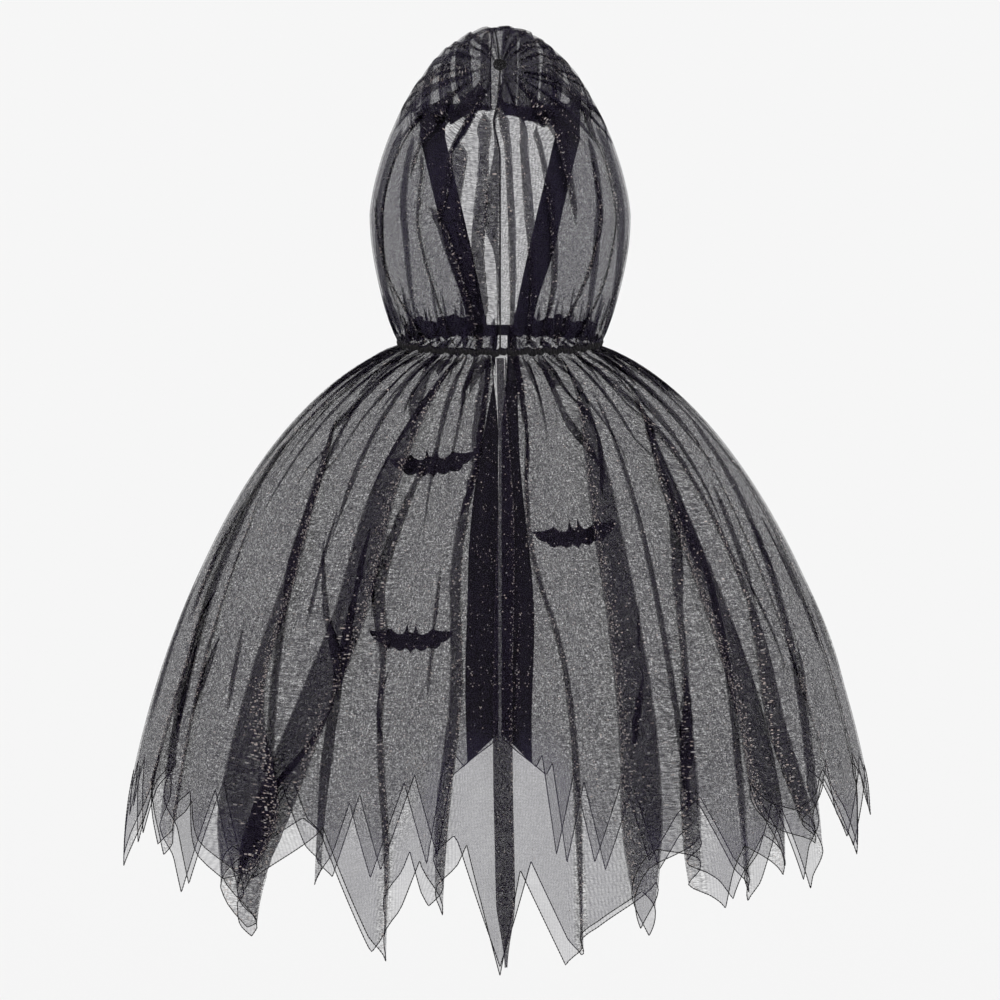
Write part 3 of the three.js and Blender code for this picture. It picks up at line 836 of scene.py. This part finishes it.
def apex_pleats(points, out):
    """Every point moved by pleats that fan out from the gather on the centre back, and their ridges."""
    apex, above, outward = apex_frame(2)
    away = points - apex
    distance = np.linalg.norm(away, axis=-1)
    turn = np.arctan2(away[..., 0], -(away @ above))
    sideways = unit(np.cross(np.broadcast_to(outward, points.shape), away))
    random = np.random.default_rng(APEX_SEED)
    shift = np.zeros_like(distance)
    lift = np.zeros_like(distance)
    ridge = np.zeros_like(distance)
    for index in range(APEX_RAYS):
        centre = -pi + 2 * pi * (index + random.uniform(0.15, 0.85)) / APEX_RAYS
        half = random.uniform(0.11, 0.20)
        straight_up = np.abs(centre) / pi
        end = mix(random.uniform(45, 85), APEX_REACH, straight_up**0.7)
        gap = (turn - centre + pi) % (2 * pi) - pi
        shown = between(distance, 3, 14, end * 0.45, end)
        curve = fold_curve(gap / half) * shown
        shift -= random.uniform(2.4, 3.6) / pi * half * distance * curve
        lift += 1.3 * curve
        # each pleat's edges get a painted highlight of extra sparks
        ridge = maximum(ridge, fold_ridge(gap / half) * shown * random.uniform(0.2, 0.8))
    return on_hood(points + sideways * shift[..., None]) + out * lift[..., None], ridge


def hood_angle(share, height):
    """The angle at a share of the way from the centre back to the edge of the face opening."""
    half_width = hood_half_width(height)
    from_angle = angle_of(np.minimum(CENTRE_GAP, half_width), half_width)
    return mix(from_angle, 180 - angle_of(face_half_width(height), half_width), share)


def brow_droop(x, angle, height):
    """How far the cloth hangs down over the brow, in scallops between the gathers."""
    near_brow = smoothstep(angle, 112, 150) * between(height, 196, 214, 222, APEX_HEIGHT)
    scallops = np.abs(sin(x * pi / BROW_SCALLOP + 0.5)) ** 1.2 + 0.4 * sin(x / 17)
    return BROW_DROOP * near_brow * scallops


def hood_grid(name):
    """The middle surface of one half of the hood, with its folds: its points, angles, ridges and heights."""
    side = SIDES[name]
    lower = linspace(CLOTH_EDGE, FACE_TOP_AT, LOWER_ROWS)
    rise = sin(linspace(0, pi / 2, HOOD_ROWS - LOWER_ROWS + 1))
    upper = mix(FACE_TOP_AT, HOOD_CLOTH_END, rise)
    share = linspace(0, 1, HOOD_COLUMNS)[None, :]
    height = np.concatenate([lower, upper[1:]])[:, None]
    angle = hood_angle(share, height)
    height = np.broadcast_to(height, angle.shape)
    out = outwards(hood_point(angle, height, side), -side)
    folds = small_gathers(HOOD_SEED[name], 52, angles=(3, 172), reach=(3.2, 5.4), ends=(20, 80), depth=4.0)
    folds += [Fold(path, reach, 6, tight, 30, True, shine) for tight, shine, path, reach in HOOD_FOLDS[name]]
    scale = hood_half_width(height) * pi / 180
    folded, lift, ridge = lay_folds(folds, angle, height, scale)
    hold = between(share, 0, 0.02, 0.97, 1) * smoothstep(height, CLOTH_EDGE, HELD_UNTIL)
    lift = lift * hold + 1.5 * sin(radians(angle) * 9 + side) * smoothstep(height, 30, 120) * hold
    pleated, pleat_ridge = apex_pleats(hood_point(mix(angle, folded, hold), height, side), out)
    points = pleated + out * lift[..., None]
    points[..., 2] -= brow_droop(points[..., 0], angle, height)
    ridge = maximum(maximum(ridge, pleat_ridge), RIDGE_FLOOR * HOOD_SHINE)
    return points, angle, ridge, height


def blend_hood(piece):
    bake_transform(piece)


def add_hood_cloth(name, layer):
    side = SIDES[name]
    points, angle, ridge, height = hood_grid(name)
    points = offset_layer(points, height, layer, -side)
    across = angle * HOOD_HALF_WIDTH * pi / 180 + HOOD_UV_START
    slot = f"{layer}_organza"
    piece = add_grid(f"hood_cloth_{layer}_{name}", points, slot, across, height, ridge, side == LEFT)
    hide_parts(f"hood_{layer}_{name}")
    blend_hood(piece)
    if layer == "outer":
        face_rows = height[:, -1] <= FACE_TOP_AT
        blend_hood(add_serging(f"face_serging_{name}", points[face_rows, -1]))


# ---- facings

FACING_COLUMNS = 13
FACING_SLANT = 30  # a front facing's inner edge ends this much higher than its outer one
HOOD_FACING_TOP = 216  # past the foot of the arch, where the facing runs into the gathered brow
# How far across a front facing reaches at the neck, as a share, and the drop where it reaches all the way.
FACING_OPENS = {"left": (0.1, 240), "right": (0.45, 320)}


def add_facing(name, node, base, out_side, width, from_seam, ripple):
    """A satin strip inside the cloth. base is its grid of places in the cloth, width a place across it from 0
    to 1, and ripple the height, number and length of the ripples of its free edge."""
    height, number, length = ripple
    ripples = height * sin(width * number + from_seam / length) * width
    lift = ripples - FACING_INSIDE * layer_spread(from_seam)
    points = base + outwards(base, out_side) * lift[..., None]
    piece = add_grid(name, points, "facing_satin", width * FACING_WIDTH, from_seam)
    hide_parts(node)
    return piece


def add_body_facing(name):
    side = SIDES[name]
    node = f"front_facing_{name}"
    tip = -box_mm(node)[0][2]
    width = linspace(0, 1, FACING_COLUMNS)[None, :]
    drop = mix(CLOTH_EDGE, mix(tip - FACING_SLANT, tip, width), linspace(0, 1, 120)[:, None] ** 1.2)
    at_neck, full_by = FACING_OPENS[name]
    outer_edge = (FRONT_HALF_GAP + FACING_WIDTH) * mix(at_neck, 1, smoothstep(drop, 0, full_by))
    outer_edge = outer_edge + 1.5 * sin(drop / 40 + side)
    distance = mix(front_gap(drop) - 0.5, outer_edge, width)
    base = body_point(180 - angle_of(distance, body_half_width(drop)), drop, side)
    blend_body(add_facing(f"body_facing_{name}", node, base, -side, width, drop, (1.2, 7, 37)))


def add_hood_facing(name):
    side = SIDES[name]
    height = linspace(CLOTH_EDGE, HOOD_FACING_TOP, 80)[:, None]
    width = linspace(0, 1, FACING_COLUMNS)[None, :]
    inner_edge = face_half_width(np.minimum(height, FACE_ARCH_AT))
    distance = inner_edge + width * FACING_WIDTH * mix(0.7, 1, smoothstep(height, 0, 90))
    angle = 180 - angle_of(distance, hood_half_width(height))
    height = np.broadcast_to(height, angle.shape)
    base = hood_point(angle, height, side)
    node = f"hood_facing_{name}"
    blend_hood(add_facing(f"hood_satin_facing_{name}", node, base, side, width, height, (1.0, 6, 31)))


# ---- seams

SEAM_HALF_WIDTH = 3.3
SEAM_SIDES = 12
PUCKERS = 1.3  # radians to the millimetre
RUFFLE_FROM, RUFFLE_TO = 100, 172  # degrees round the neck
RUFFLE_HEIGHT = 21
PLEAT_HALF_WIDTH = 9
PLEAT_LEAN = 4  # it falls to the wearer's right of the seam
PLEAT_TAIL = 26  # how far it hangs below the seam's end
KNOT_TURNS = 9


def add_neck_seams():
    """The gathered seam between hood and body: closed strips, puckered and drawn up in small tucks."""
    front_end = 180 - math.degrees(FRONT_HALF_GAP / NECK_HALF_WIDTH)
    stretches = {
        "neck_seam_back": ("neck_band_back", (-89.6, 89.6, 420), RIGHT),
        "neck_seam_front_right": ("neck_band_front_right", (90.4, front_end, 220), RIGHT),
        "neck_seam_front_left": ("neck_band_front_left", (90.4, front_end, 220), LEFT),
    }
    turn = linspace(0, 2 * pi, SEAM_SIDES, endpoint=False)[None, :]
    for name, (node, stretch, side) in stretches.items():
        angle = radians(linspace(*stretch))
        wobble = 1.3 * sin(angle * 31) + 0.9 * sin(angle * 67 + 2)
        x = side * (NECK_HALF_WIDTH + 0.4 * wobble) * sin(angle)
        y = -(NECK_HALF_DEPTH + 0.4 * wobble) * cos(angle)
        points = np.stack([x, y, 0.8 * wobble], axis=-1)
        normals = np.stack([side * sin(angle), -cos(angle), 0 * angle], axis=-1)
        sideways = unit(np.cross(unit(np.gradient(points, axis=0)), normals))
        way = length_along(points) * PUCKERS
        wide = SEAM_HALF_WIDTH * (1 + 0.22 * sin(way) * sin(way * 0.37 + 1))
        thick = SEAM_THICKNESS * 0.45 * (1 + 0.35 * sin(way * 1.7))
        section = sideways[:, None] * (cos(turn) * wide[:, None])[..., None]
        section = section + normals[:, None] * (sin(turn) * thick[:, None])[..., None]
        piece = add_piece(name, *closed_skin(points[:, None] + section), "seam_thread")
        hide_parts(node)
        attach(piece, "neck")


def add_neck_ruffle(name):
    """Inside the front of the neck the gathered edges of the cloths stand up from the seam."""
    side = SIDES[name]
    degrees = linspace(RUFFLE_FROM, RUFFLE_TO, 260)[None, :]
    share = linspace(0, 1, 14)[:, None]
    angle = radians(degrees)
    top = RUFFLE_HEIGHT * (0.82 + 0.12 * sin(angle * 13 + side) + 0.06 * sin(angle * 41))
    inward = 4 + 2.2 * share * sin(angle * 58) + 1.1 * share * sin(angle * 23 + side)
    x = side * (NECK_HALF_WIDTH - inward) * sin(angle)
    y = -(NECK_HALF_DEPTH - inward) * cos(angle)
    points = np.stack([x, y, top * share - 1], axis=-1)
    piece = add_grid(f"neck_ruffle_{name}", points, "facing_satin", degrees * 1.6, top * share)
    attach(piece, "neck")


def add_centre_pleat():
    """Down the centre back the cloth is folded over its seam, in five layers."""
    end = -box_mm("center_back_seam")[0][2]
    drop = mix(CLOTH_START, end + PLEAT_TAIL, linspace(0, 1, 150)[:, None] ** 1.1)
    turn = linspace(-1, 1, 61)[None, :]
    narrowing = 1 - 0.85 * smoothstep(drop, end - 40, end + 28)
    wide = mix(3.5, PLEAT_HALF_WIDTH, smoothstep(drop, 0, 220)) * narrowing
    x = wide * sin(turn * 2.5 * pi) + 1.6 * sin(drop / 70) + PLEAT_LEAN * smoothstep(drop, 0, 150)
    y = -body_half_depth(drop) - 3.6 + turn * 3.0
    points = np.stack([x, y, -drop + 0 * x], axis=-1)
    # the pleat's edges get a painted highlight of extra sparks; the rest glitters as flat cloth does
    ridge = maximum(np.exp(-(((np.abs(turn) - 0.6) / 0.12) ** 2)) * 0.8, RIDGE_FLOOR) + 0 * drop
    piece = add_grid("center_back_pleat", points, "outer_organza", turn * 40 + 500, drop, ridge)
    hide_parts("center_back_seam")
    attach(piece, "neck")


def add_hood_seams():
    """The overlocked seams along the hood's centre back, and over the brow, follow the pleated cloth."""
    points, _, _, height = hood_grid("right")
    brow = height[:, -1] >= FACE_TOP_AT
    for name, node, line in (
        ("hood_back_serging", "hood_back_seam", points[:, 0]),
        ("hood_front_serging", "hood_front_seam", points[brow, -1]),
    ):
        seam = tube(resample(line, 1.4), 0.8, sides=8, ripple=0.25, pitch=3.0)
        piece = add_piece(name, *seam, "seam_thread")
        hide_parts(node)
        blend_hood(piece)


def add_crown_gather():
    """The knot of stitches that draws the cloth together: a few crossing turns of thread."""
    low, high = box_mm("crown_gather")
    _, above, outward = apex_frame(1)
    way = linspace(0, 2 * pi * KNOT_TURNS, 700)
    petal = (high[0] - low[0]) / 2 * 0.82 * cos(way * 0.5 * 7 / KNOT_TURNS)
    across, up = (petal * cos(way))[:, None], (petal * sin(way))[:, None]
    height = 1.1 * cos(way * 1.3)[:, None]
    points = (low + high) / 2 + across * np.array([1.0, 0, 0]) + up * above + height * outward
    piece = add_piece("crown_gather_stitches", *tube(points, 0.55, ripple=0.2, pitch=1.6), "seam_thread")
    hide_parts("crown_gather")
    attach(piece, "hood")


# ---- bats

BATS = {  # centre across, drop and tilt, as in the CAD part
    "bat_upper_left": (-64, 135, 4),
    "bat_right": (72, 206, 10),
    "bat_lower_left": (-85, 310, -2),
}
BAT_SPAN = 80
BAT_THICKNESS = 0.8
BAT_STAND_OFF = 5
CLOTH_SLOPE = 0.93  # the cloth slopes, so a millimetre along it drops this much


def arc(start, end, bulge, count=8):
    """Points from start to end on a shallow arc that stands bulge to its left. The end is left out."""
    start, end = np.array(start, float), np.array(end, float)
    share = linspace(0, 1, count, endpoint=False)[:, None]
    side = np.array([-(end - start)[1], (end - start)[0]])
    return start + (end - start) * share + side * bulge * 4 * share * (1 - share)


def bat_outline():
    """A plain flying bat, one span wide: ears, shoulders, wing tips and scalloped wings."""
    half = [
        ((0, 0.08), (0.03, 0.08), 0.0), ((0.03, 0.08), (0.05, 0.19), 0.0), ((0.05, 0.19), (0.085, 0.07), 0.0),
        ((0.085, 0.07), (0.13, 0.05), -0.1), ((0.13, 0.05), (0.24, 0.13), -0.12),
        ((0.24, 0.13), (0.5, 0.11), -0.08), ((0.5, 0.11), (0.36, -0.06), 0.14),
        ((0.36, -0.05), (0.2, -0.12), 0.30), ((0.2, -0.12), (0.06, -0.13), 0.30),
        ((0.06, -0.13), (0, -0.2), -0.05),
    ]
    right = np.concatenate([arc(*stretch) for stretch in half])
    left = right[:0:-1] * (-1, 1)
    return np.concatenate([right, [[0, -0.2]], left])


def flat_bat():
    """Points and faces of a bat that lies flat, fine enough to bend over the cloth."""
    builder = bmesh.new()
    builder.faces.new([builder.verts.new((x, y, 0)) for x, y in bat_outline() * BAT_SPAN])
    bmesh.ops.triangulate(builder, faces=builder.faces[:], ngon_method="EAR_CLIP")
    bmesh.ops.subdivide_edges(builder, edges=builder.edges[:], cuts=3, use_grid_fill=True)
    bmesh.ops.triangulate(builder, faces=builder.faces[:])
    bmesh.ops.solidify(builder, geom=builder.faces[:], thickness=BAT_THICKNESS)
    bmesh.ops.recalc_face_normals(builder, faces=builder.faces[:])
    builder.verts.index_update()
    points = np.array([vert.co for vert in builder.verts])
    faces = [[vert.index for vert in face.verts] for face in builder.faces]
    builder.free()
    return points, faces


def add_bat(name, x, drop, tilt):
    """A flocked bat that lies on the outside of the front cloth and follows its curve."""
    side = int(np.sign(x))
    flat, faces = flat_bat()
    turn = math.radians(tilt)
    across = flat[:, 0] * math.cos(turn) - flat[:, 1] * math.sin(turn)
    up = flat[:, 0] * math.sin(turn) + flat[:, 1] * math.cos(turn)
    at_drop = drop - up * CLOTH_SLOPE
    angle = 180 - angle_of(side * (x + across), body_half_width(at_drop))
    points = body_point(angle, at_drop, side)
    step_across = body_point(angle - 0.5, at_drop, side) - points
    step_down = body_point(angle, at_drop + 1, side) - points
    out = unit(np.cross(step_across, step_down))
    out *= np.sign(out[:, 1:2])
    points = points + out * (BAT_STAND_OFF + BAT_THICKNESS / 2 + flat[:, 2:3])
    piece = add_piece(f"{name}_felt", points, faces, "bat_felt")
    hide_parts(name)
    blend_body(piece)


# ---- label and throat closure

SLAB_GRID = 29


def round_off(share, half, radius, pull):
    """A place along one side of a rounded rectangle: pull draws it inwards past the centre of a corner."""
    straight = half - radius
    place = np.abs(share) * half
    return np.sign(share) * (np.minimum(place, straight) + maximum(place - straight, 0) * pull)


def soft_slab(name, node, slot, body, radius):
    """A ribbon or tape that fills a CAD node's box: rounded corners, a thin rim and a sunk line inside it."""
    low, high = box_mm(node)
    centre, half = (low + high) / 2, (high - low) / 2
    across, up = np.meshgrid(*[linspace(-1, 1, SLAB_GRID)] * 2)
    corner = maximum(np.abs(across) * half[0] - (half[0] - radius), 0) ** 2
    corner = corner + maximum(np.abs(up) * half[2] - (half[2] - radius), 0) ** 2
    pull = np.where(corner > radius**2, radius / np.sqrt(maximum(corner, 1e-6)), 1)
    x = round_off(across, half[0], radius, pull)
    z = round_off(up, half[2], radius, pull)
    rim = maximum(np.abs(across), np.abs(up))
    stitched = between(rim, 0.7, 0.78, 0.78, 0.86)
    thick = half[1] * (1 - 0.55 * smoothstep(rim, 0.86, 1.0)) * (1 - 0.25 * stitched)
    skins = [centre + np.stack([x, face * thick, z], axis=-1) for face in (-1, 1)]
    points = np.concatenate([skin.reshape(-1, 3) for skin in skins])
    count = SLAB_GRID**2
    front = grid_faces(SLAB_GRID, SLAB_GRID)
    last = SLAB_GRID - 1
    border = [*range(last), *(last + SLAB_GRID * row for row in range(last))]
    border += [count - 1 - index for index in border]
    faces = front.tolist() + (front[:, ::-1] + count).tolist()
    for here, after in zip(border, border[1:] + border[:1]):
        faces.append([after, here, here + count, after + count])
    uv = np.stack([np.tile(x.ravel(), 2), np.tile(z.ravel(), 2)], axis=-1) * MM
    piece = add_piece(name, points, faces, slot, uv)
    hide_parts(node)
    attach(piece, body)


# ---- which pieces lie on each cloth: lists worked out here and not used further


def declare_sheets():
    for name, side in SIDES.items():
        bats = [f"{bat}_felt" for bat, (x, _, _) in BATS.items() if np.sign(x) == side]
        on_body = {"outer": [f"hem_serging_outer_{name}", f"neck_seam_front_{name}", *bats],
                   "inner": [f"hem_serging_inner_{name}"]}
        on_hood = {"outer": [f"face_serging_{name}"], "inner": []}
        if side == LEFT:
            on_body["outer"] += ["neck_seam_back"]
            on_hood["outer"] += ["hood_back_serging", "hood_front_serging", "crown_gather_stitches"]


# ---- putting it together

add_camera()
add_floor()
add_lights()

for side_name in SIDES:
    for layer_name in ("outer", "inner"):
        add_body_cloth(side_name, layer_name)
        add_hood_cloth(side_name, layer_name)
    add_body_facing(side_name)
    add_hood_facing(side_name)
add_neck_seams()
for side_name in SIDES:
    add_neck_ruffle(side_name)
add_centre_pleat()
add_hood_seams()
add_crown_gather()
for bat_name, placing in BATS.items():
    add_bat(bat_name, *placing)
soft_slab("label_ribbon", "neck_label", "label_satin", "label", 0.8)
soft_slab("throat_tab_tape", "closure_tab", "closure_tape", "throat_tab", 3.0)
soft_slab("throat_hook_patch", "closure_hook_patch", "closure_tape", "throat_tab", 1.5)
soft_slab("throat_loop_patch", "closure_loop_patch", "closure_tape", "neck", 1.5)

declare_sheets()
